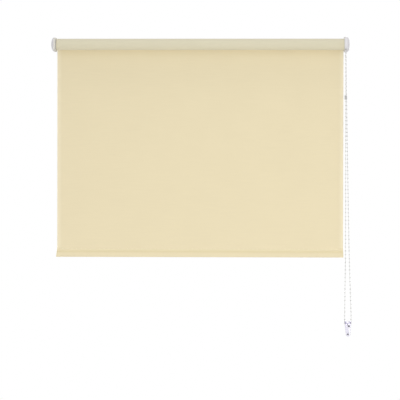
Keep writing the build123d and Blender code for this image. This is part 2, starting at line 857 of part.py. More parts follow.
export_step(tensioner_body.part, "parts/tensioner_body.step")


# Tensioner screws: pan heads with a cross recess, into the wall
def wall_screw(x, z):
    """One screw whose head bears on the tensioner's plate."""
    shank = screw_shank_d / 2
    head = screw_head_d / 2
    tip = screw_length - tensioner_plate
    outline = [
        (0, tip),
        (shank, tip - screw_point),
        (shank, -tensioner_plate),
        (head, -tensioner_plate),
        (head, -tensioner_plate - screw_head_height),
        (0, -tensioner_plate - screw_head_height),
    ]
    with BuildSketch(Plane.XY.offset(z)) as half:
        with BuildLine():
            Polyline(*[(x + radius, y) for radius, y in outline], close=True)
        make_face()
    revolve(half.sketch, axis=Axis((x, 0, z), (0, 1, 0)))
    with BuildSketch(Plane.XZ.offset(tensioner_plate + screw_head_height)) as cross:
        with Locations((x, z)):
            Rectangle(recess_length, recess_width)
            Rectangle(recess_width, recess_length)
    extrude(cross.sketch, amount=-recess_depth, mode=Mode.SUBTRACT)


with BuildPart() as tensioner_screws:
    for place in tensioner_screw_places:
        wall_screw(*place)
tensioner_screws.part.label = "tensioner_screws"
export_step(tensioner_screws.part, "parts/tensioner_screws.step")
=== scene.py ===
"""A roller blind with a bead chain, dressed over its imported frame. All in metres, in the frame's axes:
+X to the right along the roller, +Y towards the mounting plane, +Z up."""
import json
import math

import bmesh
import bpy
from mathutils import Euler, Matrix, Vector


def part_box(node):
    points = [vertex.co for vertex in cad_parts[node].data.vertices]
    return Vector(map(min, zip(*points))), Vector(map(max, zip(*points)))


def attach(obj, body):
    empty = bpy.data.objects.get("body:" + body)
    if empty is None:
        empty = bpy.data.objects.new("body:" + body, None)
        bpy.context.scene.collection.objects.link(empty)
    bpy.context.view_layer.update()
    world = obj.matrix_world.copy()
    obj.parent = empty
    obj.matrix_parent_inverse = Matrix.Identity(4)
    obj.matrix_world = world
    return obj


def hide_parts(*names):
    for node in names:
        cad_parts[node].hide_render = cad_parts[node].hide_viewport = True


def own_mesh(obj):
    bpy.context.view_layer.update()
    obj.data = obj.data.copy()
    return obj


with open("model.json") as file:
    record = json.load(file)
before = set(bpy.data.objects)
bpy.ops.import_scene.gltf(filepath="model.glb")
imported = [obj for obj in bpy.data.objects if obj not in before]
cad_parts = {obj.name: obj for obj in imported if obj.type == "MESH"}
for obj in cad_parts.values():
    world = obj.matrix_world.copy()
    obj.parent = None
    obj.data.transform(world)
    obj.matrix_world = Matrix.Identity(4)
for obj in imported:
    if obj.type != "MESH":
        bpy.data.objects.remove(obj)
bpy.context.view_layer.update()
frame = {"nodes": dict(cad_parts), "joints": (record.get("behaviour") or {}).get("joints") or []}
nodes = frame["nodes"]
mm = 0.001
# Points closer than this count as one
hair = 0.001 * mm

# Sizes that several pieces share
roller_axis_y = -30 * mm
panel_low, panel_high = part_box("fabric_panel")
pocket_low, pocket_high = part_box("hem_pocket")
half_width = panel_high.x
drop = -panel_low.z
cloth_middle = (panel_low.y + panel_high.y) / 2
cloth_thickness = panel_high.y - panel_low.y


# Handling of objects and meshes
def let_go():
    """Leaves edit mode with nothing selected."""
    if bpy.context.object and bpy.context.object.mode != "OBJECT":
        bpy.ops.object.mode_set(mode="OBJECT")
    bpy.ops.object.select_all(action="DESELECT")


def take(piece):
    """Makes piece the only selected object, and the active one."""
    let_go()
    piece.select_set(True)
    bpy.context.view_layer.objects.active = piece


def just_added(name):
    """Names the object that an operator has just added."""
    piece = bpy.context.object
    piece.name = piece.data.name = name
    return piece


def settle(piece):
    """Moves a piece's place, turn and scale into its mesh."""
    take(piece)
    bpy.ops.object.transform_apply(location=True, rotation=True, scale=True)
    return piece


def finish_with(piece, kind, **settings):
    """Adds a modifier and applies it."""
    take(piece)
    added = piece.modifiers.new(kind.lower(), kind)
    for setting, value in settings.items():
        setattr(added, setting, value)
    bpy.ops.object.modifier_apply(modifier=added.name)


def ease_edges(piece, width, sharp=50):
    """Rounds the edges that turn by more than so many degrees."""
    finish_with(
        piece, "BEVEL", width=width, segments=3, limit_method="ANGLE", angle_limit=math.radians(sharp)
    )


def pick(piece, kind, wanted):
    """Opens piece in edit mode with the wanted vertices, edges or faces selected."""
    take(piece)
    bpy.ops.object.mode_set(mode="EDIT")
    bpy.ops.mesh.select_mode(type=kind)
    bpy.ops.mesh.select_all(action="DESELECT")
    shape = bmesh.from_edit_mesh(piece.data)
    for part in {"VERT": shape.verts, "EDGE": shape.edges, "FACE": shape.faces}[kind]:
        if wanted(part):
            part.select_set(True)
    shape.select_flush_mode()
    bmesh.update_edit_mesh(piece.data)


def everything(_):
    """For pick: all there is."""
    return True


def smooth(piece, degrees=40):
    """Shades piece smooth, apart from edges sharper than so many degrees."""
    take(piece)
    bpy.ops.object.shade_smooth_by_angle(angle=math.radians(degrees))


def face_outwards(piece, middle):
    """Merges doubles and turns an open shell's faces away from middle."""
    pick(piece, "VERT", everything)
    bpy.ops.mesh.remove_doubles(threshold=hair)
    bpy.ops.mesh.normals_make_consistent(inside=False)
    let_go()
    turned_out = sum((f.center - middle).dot(f.normal) * f.area for f in piece.data.polygons)
    if turned_out < 0:
        pick(piece, "FACE", everything)
        bpy.ops.mesh.flip_normals()
        let_go()


def copies(pattern, places, name):
    """Joins a copy of pattern at each place, a matrix, into one piece, and removes pattern."""
    made = []
    for place in places:
        one = pattern.copy()
        one.data = pattern.data.copy()
        one.data.transform(place)
        bpy.context.scene.collection.objects.link(one)
        made.append(one)
    take(made[0])
    for one in made:
        one.select_set(True)
    bpy.ops.object.join()
    bpy.data.objects.remove(pattern)
    return just_added(name)


def flowing_line(name, points):
    """A bare NURBS curve with points as its control points, on the scene."""
    line = bpy.data.curves.new(name, "CURVE")
    line.dimensions = "3D"
    line.resolution_u = 24
    spline = line.splines.new("NURBS")
    spline.points.add(len(points) - 1)
    for spot, place in zip(spline.points, points):
        spot.co = (*place, 1)
    spline.order_u = 3
    spline.use_endpoint_u = True
    piece = bpy.data.objects.new(name, line)
    bpy.context.scene.collection.objects.link(piece)
    return piece


def along(curve, steps):
    """Points at even steps along a bare curve, and its length."""
    bpy.context.view_layer.update()
    drawn = bpy.data.meshes.new_from_object(curve.evaluated_get(bpy.context.evaluated_depsgraph_get()))
    line = [v.co.copy() for v in drawn.vertices]
    bpy.data.meshes.remove(drawn)
    gone = [0]
    for a, b in zip(line, line[1:]):
        gone.append(gone[-1] + (b - a).length)
    found, at = [], 0
    for step in range(steps + 1):
        reach = gone[-1] * step / steps
        while at < len(line) - 2 and gone[at + 1] < reach:
            at += 1
        part = (reach - gone[at]) / (gone[at + 1] - gone[at])
        found.append(line[at].lerp(line[at + 1], part))
    return found, gone[-1]


# Materials
def linear(colour):
    """sRGB hex to the linear colour that a shader takes."""
    parts = [int(colour[i : i + 2], 16) / 255 for i in (1, 3, 5)]
    return (*(p / 12.92 if p <= 0.04045 else ((p + 0.055) / 1.055) ** 2.4 for p in parts), 1)


def add(tree, kind, feeds=None, **settings):
    """Adds a node. feeds gives its inputs, by name or number: a socket is linked, a value is set."""
    made = tree.nodes.new(kind)
    for setting, value in settings.items():
        setattr(made, setting, value)
    for key, value in (feeds or {}).items():
        if isinstance(value, bpy.types.NodeSocket):
            tree.links.new(value, made.inputs[key])
        else:
            made.inputs[key].default_value = value
    return made


def finish_named(name, **values):
    """A new material with a Principled shader whose sockets have these values: (material, tree, shader)."""
    made = bpy.data.materials.new(name)
    made.use_nodes = True
    shader = made.node_tree.nodes["Principled BSDF"]
    for socket, value in values.items():
        shader.inputs[socket.replace("_", " ")].default_value = value
    return made, made.node_tree, shader


def wear(piece, *finishes):
    """Gives piece these materials and no others."""
    piece.data.materials.clear()
    for one in finishes:
        piece.data.materials.append(one)


def bands(pitch):
    """The scale at which a Wave texture's bands repeat every pitch."""
    return 2 * math.pi / (20 * pitch)


def blind_cloth(name, yarn, hollow, own_place, pale_edge):
    """Polyester blind cloth, plain weave, stiffened and coated matt: an even soft surface with faint slubs.
    The threads lie 0.5 mm apart, too fine to show, so they are drawn 1.5 mm apart."""
    made, tree, shader = finish_named(name, Roughness=0.88, Specular_IOR_Level=0.25, Sheen_Weight=0.45)
    thread, slub_length, slub_height, cloud_size = 1.5 * mm, 60 * mm, 2.5 * mm, 111 * mm
    weave_share, cloud_share = 0.4, 0.5
    if own_place:
        place = add(tree, "ShaderNodeAttribute", attribute_name="cloth_place").outputs["Vector"]
    else:
        spot = add(tree, "ShaderNodeTexCoord").outputs["Object"]
        upright = add(tree, "ShaderNodeMapping", {"Vector": spot, "Rotation": (math.pi / 2, 0, 0)})
        place = upright.outputs["Vector"]
    warp = add(tree, "ShaderNodeTexWave", {"Vector": place, "Scale": bands(thread)}, bands_direction="X")
    weft = add(tree, "ShaderNodeTexWave", {"Vector": place, "Scale": bands(thread)}, bands_direction="Y")
    weave = add(
        tree,
        "ShaderNodeMath",
        {0: warp.outputs["Fac"], 1: weft.outputs["Fac"]},
        operation="MULTIPLY",
    )
    stretch = (1 / slub_length, 1 / slub_height, 1 / slub_length)
    stretched = add(tree, "ShaderNodeMapping", {"Vector": place, "Scale": stretch}).outputs["Vector"]
    slub = add(tree, "ShaderNodeTexNoise", {"Vector": stretched, "Scale": 1.0, "Detail": 2.0})
    cloudy = add(tree, "ShaderNodeTexNoise", {"Vector": place, "Scale": 1 / cloud_size, "Detail": 1.0})
    grain = add(
        tree,
        "ShaderNodeMath",
        {0: weave.outputs[0], 1: weave_share, 2: slub.outputs["Fac"]},
        operation="MULTIPLY_ADD",
    )
    tone = add(
        tree,
        "ShaderNodeMath",
        {0: cloudy.outputs["Fac"], 1: cloud_share, 2: grain.outputs[0]},
        operation="MULTIPLY_ADD",
    )
    share = add(tree, "ShaderNodeMapRange", {"Value": tone.outputs[0], "From Min": 0.4, "From Max": 1.3})
    colour = add(
        tree,
        "ShaderNodeMix",
        {0: share.outputs["Result"], 6: linear(hollow), 7: linear(yarn)},
        data_type="RGBA",
    )
    last = colour.outputs[2]
    if pale_edge:
        # Light comes through the cut edges, so the cloth is paler along them
        edge_start, edge_share = half_width - 14 * mm, 0.6
        across = add(tree, "ShaderNodeSeparateXYZ", {"Vector": place}).outputs["X"]
        from_middle = add(tree, "ShaderNodeMath", {0: across}, operation="ABSOLUTE").outputs[0]
        edge = add(
            tree,
            "ShaderNodeMapRange",
            {"Value": from_middle, "From Min": edge_start, "From Max": half_width, "To Max": edge_share},
        )
        last = add(
            tree,
            "ShaderNodeMix",
            {0: edge.outputs["Result"], 6: last, 7: linear("#F6EDD2")},
            data_type="RGBA",
        ).outputs[2]
    if own_place:
        # Painted shade: along the bend over the bar's upper edge the cloth is painted a little darker and
        # warmer, for the shade that falls there
        crease_shade = add(tree, "ShaderNodeAttribute", attribute_name="crease_shade")
        last = add(
            tree,
            "ShaderNodeMix",
            {0: crease_shade.outputs["Fac"], 6: last, 7: linear("#DDCEA0")},
            data_type="RGBA",
        ).outputs[2]
    tree.links.new(last, shader.inputs["Base Color"])
    raised = add(
        tree,
        "ShaderNodeBump",
        {"Strength": 0.2, "Distance": 0.15 * mm, "Height": grain.outputs[0]},
    )
    tree.links.new(raised.outputs["Normal"], shader.inputs["Normal"])
    return made


def moulded(name, colour, shade, grain, roughness, **values):
    """A moulded plastic: its colour drifts between two close tones, and its skin has a fine grain."""
    made, tree, shader = finish_named(name, IOR=1.5, **values)
    drift_size, gloss_drift = 14 * mm, 0.06
    place = add(tree, "ShaderNodeTexCoord").outputs["Object"]
    drift = add(tree, "ShaderNodeTexNoise", {"Vector": place, "Scale": 1 / drift_size, "Detail": 2.0})
    skin = add(tree, "ShaderNodeTexNoise", {"Vector": place, "Scale": 1 / grain, "Detail": 3.0})
    tone = add(
        tree,
        "ShaderNodeMix",
        {0: drift.outputs["Fac"], 6: linear(shade), 7: linear(colour)},
        data_type="RGBA",
    )
    tree.links.new(tone.outputs[2], shader.inputs["Base Color"])
    gloss = add(
        tree,
        "ShaderNodeMapRange",
        {
            "Value": skin.outputs["Fac"],
            "To Min": roughness - gloss_drift,
            "To Max": roughness + gloss_drift,
        },
    )
    tree.links.new(gloss.outputs["Result"], shader.inputs["Roughness"])
    bump = add(
        tree,
        "ShaderNodeBump",
        {"Strength": 0.15, "Distance": 0.05 * mm, "Height": skin.outputs["Fac"]},
    )
    tree.links.new(bump.outputs["Normal"], shader.inputs["Normal"])
    return made


def drawn_metal(name, colour, shade, roughness, line):
    """A drawn or rolled metal: fine lines along X from the tool, and a gloss that varies with them."""
    made, tree, shader = finish_named(name, Metallic=1.0)
    line_length, gloss_drift = 60 * line, 0.1
    place = add(tree, "ShaderNodeTexCoord").outputs["Object"]
    stretch = (1 / line_length, 1 / line, 1 / line)
    drawn_out = add(tree, "ShaderNodeMapping", {"Vector": place, "Scale": stretch}).outputs["Vector"]
    lines = add(tree, "ShaderNodeTexNoise", {"Vector": drawn_out, "Scale": 1.0, "Detail": 3.0})
    tone = add(
        tree,
        "ShaderNodeMix",
        {0: lines.outputs["Fac"], 6: linear(shade), 7: linear(colour)},
        data_type="RGBA",
    )
    tree.links.new(tone.outputs[2], shader.inputs["Base Color"])
    gloss = add(
        tree,
        "ShaderNodeMapRange",
        {
            "Value": lines.outputs["Fac"],
            "To Min": roughness - gloss_drift,
            "To Max": roughness + gloss_drift,
        },
    )
    tree.links.new(gloss.outputs["Result"], shader.inputs["Roughness"])
    bump = add(
        tree,
        "ShaderNodeBump",
        {"Strength": 0.2, "Distance": 0.03 * mm, "Height": lines.outputs["Fac"]},
    )
    tree.links.new(bump.outputs["Normal"], shader.inputs["Normal"])
    return made


# The cloth is a warm pale beige. Its face colours, on the front of the panel and on the hem, are painted
# paler and warmer for the light that comes through the hanging cloth from behind. The reverse colours, a
# little greyer, are without that painted light and show behind the panel and outside on the roll.
backlit_face_colours, reverse_colours = ("#EADDBA", "#E6D9B6"), ("#DCD5BB", "#D8D1B7")
backlit_face_cloth = blind_cloth("woven polyester, face with painted backlight", *backlit_face_colours, own_place=False, pale_edge=True)
reverse_cloth = blind_cloth("woven polyester, reverse", *reverse_colours, own_place=False, pale_edge=True)
folded_cloth = blind_cloth("woven polyester, folded hem with painted backlight", *backlit_face_colours, own_place=True, pale_edge=True)
wound_cloth = blind_cloth("woven polyester, wound", *reverse_colours, own_place=True, pale_edge=False)

# Satin ABS, injection moulded: pale neutral grey with a soft broad highlight
satin_abs = moulded("satin ABS", "#E2E0E3", "#DAD8DB", 0.5 * mm, 0.42)
# Filled polypropylene, moulded: duller and a little warmer than the covers
grey_polypropylene = moulded("grey polypropylene", "#DAD7CE", "#D0CDC4", 0.7 * mm, 0.55)
# Acetal, moulded: waxy off-white, as on the wheel and the plugs of the tube
white_acetal = moulded("white acetal", "#E2E1DC", "#D8D7D2", 0.6 * mm, 0.38)
# Polyester beads moulded on the cord: pale, glossy and a little translucent
bead_polyester = moulded(
    "bead polyester",
    "#DDDDDB",
    "#D3D3D1",
    0.4 * mm,
    0.28,
    Subsurface_Weight=0.08,
    Subsurface_Scale=1 * mm,
    Subsurface_Radius=(1, 1, 1),
)
# Nylon sleeve of the chain's joiner: mid grey, slightly worn
joiner_nylon = moulded("joiner nylon", "#B9B9B9", "#ABABAB", 0.4 * mm, 0.45)
# Caps of the hem bar, moulded to go with the cloth: a plain warm beige
cap_plastic = moulded("cap polypropylene", "#DFD6B6", "#D5CCAC", 0.6 * mm, 0.5)
# Double-sided film: thin, pale and slightly shiny
film_tape = moulded("adhesive film", "#EDEBE4", "#E4E2DB", 0.8 * mm, 0.35)
# Spring steel, drawn bright: clean grey with a narrow streak of light
spring_steel = drawn_metal("spring steel, drawn", "#C4C4C6", "#A8A8AA", 0.32, 0.15 * mm)
# Zinc-plated steel gone dull: dark against the clear holder
dull_zinc = drawn_metal("zinc plate, dull", "#6A6A6E", "#4C4C50", 0.48, 0.2 * mm)
# Aluminium as it leaves the extrusion die: pale, with fine lines along its length
mill_aluminium = drawn_metal("mill aluminium", "#D8D8DA", "#C6C6C8", 0.38, 0.3 * mm)


def clear_plastic():
    """Polycarbonate, moulded with a lilac tint: pale where it is thin, darker through its edges."""
    made, tree, shader = finish_named(
        "tinted polycarbonate", IOR=1.58, Transmission_Weight=1.0, Base_Color=linear("#EFEDF5")
    )
    swirl_size, tint_per_metre = 5 * mm, 90.0
    place = add(tree, "ShaderNodeTexCoord").outputs["Object"]
    swirl = add(tree, "ShaderNodeTexNoise", {"Vector": place, "Scale": 1 / swirl_size, "Detail": 2.0})
    gloss = add(tree, "ShaderNodeMapRange", {"Value": swirl.outputs["Fac"], "To Min": 0.03, "To Max": 0.12})
    tree.links.new(gloss.outputs["Result"], shader.inputs["Roughness"])
    tint = add(
        tree, "ShaderNodeVolumeAbsorption", {"Color": linear("#AAA5C2"), "Density": tint_per_metre}
    )
    tree.links.new(tint.outputs["Volume"], tree.nodes["Material Output"].inputs["Volume"])
    return made


def sewing_thread():
    """Spun polyester thread: twisted, a little lighter than the cloth and slightly shiny."""
    made, tree, shader = finish_named("spun polyester thread", Roughness=0.6, Sheen_Weight=0.2)
    ply, slant = 0.4 * mm, 0.6
    place = add(tree, "ShaderNodeTexCoord").outputs["Object"]
    slanted = add(tree, "ShaderNodeMapping", {"Vector": place, "Rotation": (0, slant, 0)}).outputs["Vector"]
    twist = add(tree, "ShaderNodeTexWave", {"Vector": slanted, "Scale": bands(ply)})
    tone = add(
        tree,
        "ShaderNodeMix",
        {0: twist.outputs["Fac"], 6: linear("#EFE4C4"), 7: linear("#FAF1D8")},
        data_type="RGBA",
    )
    tree.links.new(tone.outputs[2], shader.inputs["Base Color"])
    bump = add(
        tree,
        "ShaderNodeBump",
        {"Strength": 0.3, "Distance": 0.05 * mm, "Height": twist.outputs["Fac"]},
    )
    tree.links.new(bump.outputs["Normal"], shader.inputs["Normal"])
    return made


clear_polycarbonate = clear_plastic()
polyester_thread = sewing_thread()

# Camera, at the photograph's viewing angle
camera = bpy.data.objects.new("camera", bpy.data.cameras.new("camera"))
camera.data.lens = 182.81
camera.data.sensor_width = 36
camera.location = (0.1823, -6.4, -0.4424)
looks_down, looks_left, leans = math.radians(-0.409), math.radians(1.633), math.radians(0.096)
turned = Euler((math.pi / 2 + looks_down, 0, looks_left)).to_matrix() @ Matrix.Rotation(leans, 3, "Z")
camera.rotation_euler = turned.to_euler()
bpy.context.scene.collection.objects.link(camera)
bpy.context.scene.camera = camera

# The chain: one cord from the top of the wheel down the front, round the holder and up behind
bead, bead_count, cord_thickness = 4.5 * mm, 152, 1.2 * mm
bead_flat = 0.44 * bead
chain_route = [
    (456.5, -30.0, 15.3),
    (456.5, -45.3, 15.3),
    (456.5, -45.3, -15.3),
    (456.4, -38.1, -166.9),
    (457.4, -19.1, -612.0),
    (457.3, -15.6, -693.0),
    (455.4, -9.5, -834.0),
    (455.3, -8.0, -859.8),
    (455.3, -8.0, -880.2),
    (475.7, -8.0, -880.2),
    (475.7, -8.0, -859.8),
    (475.5, -8.2, -838.0),
    (470.0, -9.4, -690.0),
    (467.7, -10.1, -600.0),
    (461.2, -12.8, -250.0),
    (456.5, -14.7, -15.3),
    (456.5, -14.7, 15.3),
    (456.5, -30.0, 15.3),
]
chain_cord = flowing_line("chain_cord", [Vector(p) * mm for p in chain_route])
half_steps, chain_length = along(chain_cord, 2 * bead_count)
chain_cord.data.bevel_depth = cord_thickness / 2
chain_cord.data.bevel_resolution = 2
chain_cord.data.resolution_u = 12
chain_cord.data.use_fill_caps = True
wear(chain_cord, bead_polyester)

# One bead: a ball with a small flat where the cord goes in at each end
let_go()
bpy.ops.mesh.primitive_uv_sphere_add(segments=12, ring_count=8, radius=bead / 2)
one_bead = just_added("bead")
for end in (-1, 1):
    pick(one_bead, "VERT", everything)
    bpy.ops.mesh.bisect(
        plane_co=(0, 0, end * bead_flat), plane_no=(0, 0, end), clear_outer=True, use_fill=True
    )
let_go()
# The joiner holds two beads half a step apart, so above it the strand behind shows between the beads in
# front, and below it the beads lie side by side
joiner_low, joiner_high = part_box("chain_joiner")
joiner_middle = (joiner_low + joiner_high) / 2
joint = min(range(bead_count), key=lambda step: (half_steps[step] - joiner_middle).length)
joint += joint % 2
bead_stands = []
for step in (*range(1, joint, 2), *range(joint, 2 * bead_count, 2)):
    heading = half_steps[step + 1] - half_steps[step - 1]
    upright = heading.to_track_quat("Z", "X").to_matrix().to_4x4()
    bead_stands.append(Matrix.Translation(half_steps[step]) @ upright)
chain_beads = copies(one_bead, bead_stands, "chain_beads")
smooth(chain_beads, 50)
wear(chain_beads, bead_polyester)

# The joiner: a bored sleeve with eased ends and a groove round its waist
joiner_run = next(Vector(j["axis"]) for j in frame["joints"] if j["name"] == "joiner_run")
joiner_length, joiner_radius, joiner_wall, joiner_ease = 12.5 * mm, 3.7 * mm, 1.1 * mm, 0.35 * mm
groove_floor, groove_mouth, groove_depth = 0.9 * mm, 1.2 * mm, 0.35 * mm
let_go()
bpy.ops.mesh.primitive_cylinder_add(vertices=40, radius=joiner_radius, depth=joiner_length)
joiner = just_added("joiner_sleeve")
pick(joiner, "FACE", lambda face: abs(face.normal.z) > 0.5)
bpy.ops.mesh.inset(thickness=joiner_wall, use_boundary=True)
bpy.ops.mesh.bridge_edge_loops()
let_go()
for height in (-groove_mouth, -groove_floor, groove_floor, groove_mouth):
    pick(joiner, "VERT", everything)
    bpy.ops.mesh.bisect(plane_co=(0, 0, height), plane_no=(0, 0, 1))
let_go()
for corner in joiner.data.vertices:
    at_waist = abs(corner.co.z) < (groove_floor + groove_mouth) / 2
    if at_waist and corner.co.xy.length > joiner_radius - joiner_wall / 2:
        corner.co.xy *= 1 - groove_depth / joiner_radius
ease_edges(joiner, joiner_ease)
joiner.rotation_mode = "QUATERNION"
joiner.rotation_quaternion = joiner_run.to_track_quat("Z", "X")
joiner.location = joiner_middle
settle(joiner)
smooth(joiner)
wear(joiner, joiner_nylon)


# The hanging cloth, two thin layers, each the full drop: the front one rides on the frame and the one
# behind on the hem
def hang(name, front, back):
    """A layer of the hanging cloth between two depths, with its face forwards and its reverse behind."""
    let_go()
    bpy.ops.mesh.primitive_grid_add(
        x_subdivisions=150,
        y_subdivisions=64,
        size=1,
        location=(0, front, -drop / 2),
        rotation=(math.pi / 2, 0, 0),
    )
    piece = just_added(name)
    piece.scale = (2 * half_width, drop, 1)
    settle(piece)
    left_curl, right_curl, left_reach, right_reach = 1.0 * mm, 2.2 * mm, 25 * mm, 45 * mm
    # The waves' heights, and their turns in radians per metre
    broad_wave, fine_wave, broad_turn, fine_turn = 0.25 * mm, 0.18 * mm, 21, 47
    for spot in piece.data.vertices:
        x, z = spot.co.x, spot.co.z
        held = math.sin(math.pi * min(max(-z / drop, 0), 1)) ** 0.5
        near_left = max(0, 1 - (x + half_width) / left_reach)
        near_right = max(0, 1 - (half_width - x) / right_reach)
        waves = broad_wave * math.sin(x * broad_turn + 0.4) + fine_wave * math.sin(x * fine_turn + 1.9)
        spot.co.y += held * (left_curl * near_left**2 + right_curl * near_right**2 + waves)
    wear(piece, backlit_face_cloth, reverse_cloth)
    finish_with(
        piece, "SOLIDIFY", thickness=back - front, offset=-1, material_offset=1, material_offset_rim=0
    )
    smooth(piece)
    return piece


layer_gap = 0.01 * mm
cloth_front = hang("cloth_front", panel_low.y, cloth_middle - layer_gap / 2)
cloth_behind = hang("cloth_behind", cloth_middle + layer_gap / 2, panel_high.y)


def bent_strip(name, columns, rows, width, place):
    """A strip of cloth whose points go where place(x, share) says, which gives each point, how far along
    the cloth it is and how much painted shade it gets."""
    let_go()
    bpy.ops.mesh.primitive_grid_add(x_subdivisions=columns, y_subdivisions=rows, size=1)
    piece = just_added(name)
    where = piece.data.attributes.new("cloth_place", "FLOAT_VECTOR", "POINT")
    crease_shades = piece.data.attributes.new("crease_shade", "FLOAT", "POINT")
    for number, spot in enumerate(piece.data.vertices):
        x, share = spot.co.x * width, 0.5 - spot.co.y
        point, gone, crease_shade = place(x, share)
        where.data[number].vector = (x, gone, 0)
        crease_shades.data[number].value = crease_shade
        spot.co = point
    return piece


# The roll: the cloth wound in a spiral, its turns a little out of line at the ends
roll_turns, roll_pitch, roll_outer = 7, 0.49 * mm, 17.79 * mm
end_drift, end_jitter, end_proud, end_power = 0.3 * mm, 0.15 * mm, 0.8 * mm, 8


def wind(x, share):
    """A point of the wound cloth, from the outer end inwards."""
    angle = 2 * math.pi * roll_turns * share
    radius = roll_outer - roll_pitch * angle / (2 * math.pi)
    gone = angle * (roll_outer + radius) / 2
    side = x / half_width
    drift = end_drift * math.sin(angle * 0.31 + 1) + end_jitter * math.sin(angle * 1.7)
    proud = end_proud * (1 - share)
    shift = (drift + math.copysign(proud, x)) * abs(side) ** end_power
    point = (x + shift, roller_axis_y + radius * math.cos(angle), radius * math.sin(angle))
    return point, -gone, 0


cloth_roll = bent_strip("cloth_roll", 40, roll_turns * 56, 2 * half_width, wind)
finish_with(cloth_roll, "SOLIDIFY", thickness=cloth_thickness, offset=0)
smooth(cloth_roll)
wear(cloth_roll, wound_cloth)

# The hem: the cloth goes down in front of the bar, round it, and up behind to the seam
hem_line = flowing_line(
    "hem_line",
    [
        Vector((0, y, z)) * mm
        for y, z in (
            (-12.21, -639.0),
            (-12.21, -641.0),
            (-12.15, -642.2),
            (-12.30, -643.6),
            (-14.86, -647.6),
            (-14.86, -656.0),
            (-14.86, -664.0),
            (-14.80, -667.8),
            (-9.62, -667.8),
            (-9.56, -664.0),
            (-9.56, -656.0),
            (-9.56, -647.6),
            (-11.70, -643.6),
            (-11.79, -642.0),
            (-11.79, -637.4),
        )
    ],
)
hem_rows = 48
hem_points, hem_length = along(hem_line, hem_rows)
bpy.data.objects.remove(hem_line)
seam_z, hem_bottom = -642 * mm, pocket_low.z
left_flare, right_flare, flare_power = -pocket_low.x - half_width, pocket_high.x - half_width, 20
pucker, pucker_height, pucker_reach = 14.6 * mm, 0.12 * mm, 4 * mm
# Painted shade along the bend over the bar's upper edge: its height, reach and strength
crease_shade_z, crease_shade_reach, crease_shade_depth = -650.5 * mm, 3.6 * mm, 0.55


def fold(x, share):
    """A point of the hem: flared at the ends, puckered along the seam, and with painted shade along the
    bend over the bar.
    """
    _, y, z = hem_points[min(hem_rows, round(share * hem_rows))]
    low = max(0, (seam_z - z) / (seam_z - hem_bottom))
    side = x / half_width
    flare = (right_flare if side > 0 else -left_flare) * low * abs(side) ** flare_power
    near_seam = math.exp(-(((z - seam_z) / pucker_reach) ** 2))
    swell = pucker_height * math.cos(2 * math.pi * x / pucker) * near_seam
    crease_shade = crease_shade_depth * math.exp(-(((z - crease_shade_z) / crease_shade_reach) ** 2))
    return (x + flare, y - swell, z), drop + share * hem_length, crease_shade


cloth_hem = bent_strip("cloth_hem", 372, hem_rows, 2 * half_width, fold)
finish_with(cloth_hem, "SOLIDIFY", thickness=cloth_thickness, offset=0)
smooth(cloth_hem)
wear(cloth_hem, folded_cloth)

# The seam: one stitch, copied along the hem in front and behind. Every fourth one is slack and stands
# proud, so that the seam shows as a row of pale dots.
stitch_pitch, stitch_length, stitch_width, stitch_count = 3.65 * mm, 2.7 * mm, 0.65 * mm, 246
even_stitch, slack_stitch = Matrix.Identity(4), Matrix.Diagonal((1.25, 2.2, 2.2, 1))
let_go()
bpy.ops.mesh.primitive_uv_sphere_add(
    segments=8,
    ring_count=6,
    radius=0.5,
    rotation=(0, math.pi / 2, 0),
    scale=(stitch_width, stitch_width, stitch_length),
)
one_stitch = settle(just_added("stitch"))
seam_front, seam_behind = cloth_middle - cloth_thickness / 2, cloth_middle + 1.5 * cloth_thickness
stitch_places = []
for number in range(stitch_count):
    x = (number - (stitch_count - 1) / 2) * stitch_pitch
    swell = pucker_height * math.cos(2 * math.pi * x / pucker)
    form = slack_stitch if number % 4 == 0 else even_stitch
    for y in (seam_front - swell, seam_behind - swell):
        stitch_places.append(Matrix.Translation((x, y, seam_z)) @ form)
hem_seam = copies(one_stitch, stitch_places, "hem_seam")
smooth(hem_seam, 60)
wear(hem_seam, polyester_thread)


# The covers
cover_wall, cover_ease = 1.8 * mm, 0.4 * mm


def reach_back(piece):
    """Draws a half round cover back from the roller's axis to the mounting plane."""
    pick(piece, "VERT", everything)
    bpy.ops.mesh.remove_doubles(threshold=hair)
    pick(piece, "VERT", lambda spot: abs(spot.co.y - roller_axis_y) < hair)
    bpy.ops.mesh.extrude_region_move(TRANSFORM_OT_translate={"value": (0, -roller_axis_y, 0)})
    let_go()


def left_dome():
    """A shallow dome over the bracket, half round in front and straight behind."""
    low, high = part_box("left_cover")
    rim, radius = -458.8 * mm, high.z
    let_go()
    bpy.ops.mesh.primitive_circle_add(vertices=128, radius=1, rotation=(math.pi / 2, 0, 0))
    dome = just_added("left_dome")
    dome.location = (rim, roller_axis_y, 0)
    dome.scale = (rim - low.x, radius, 1)
    settle(dome)
    pick(dome, "VERT", lambda spot: spot.co.x > rim + hair or spot.co.z < -hair)
    bpy.ops.mesh.delete(type="VERT")
    pick(dome, "VERT", everything)
    bpy.ops.mesh.spin(steps=64, angle=-math.pi, center=(rim, roller_axis_y, 0), axis=(1, 0, 0))
    reach_back(dome)
    face_outwards(dome, Vector((rim, roller_axis_y / 2, 0)))
    finish_with(dome, "SOLIDIFY", thickness=cover_wall, offset=-1)
    ease_edges(dome, cover_ease)
    smooth(dome)
    return dome


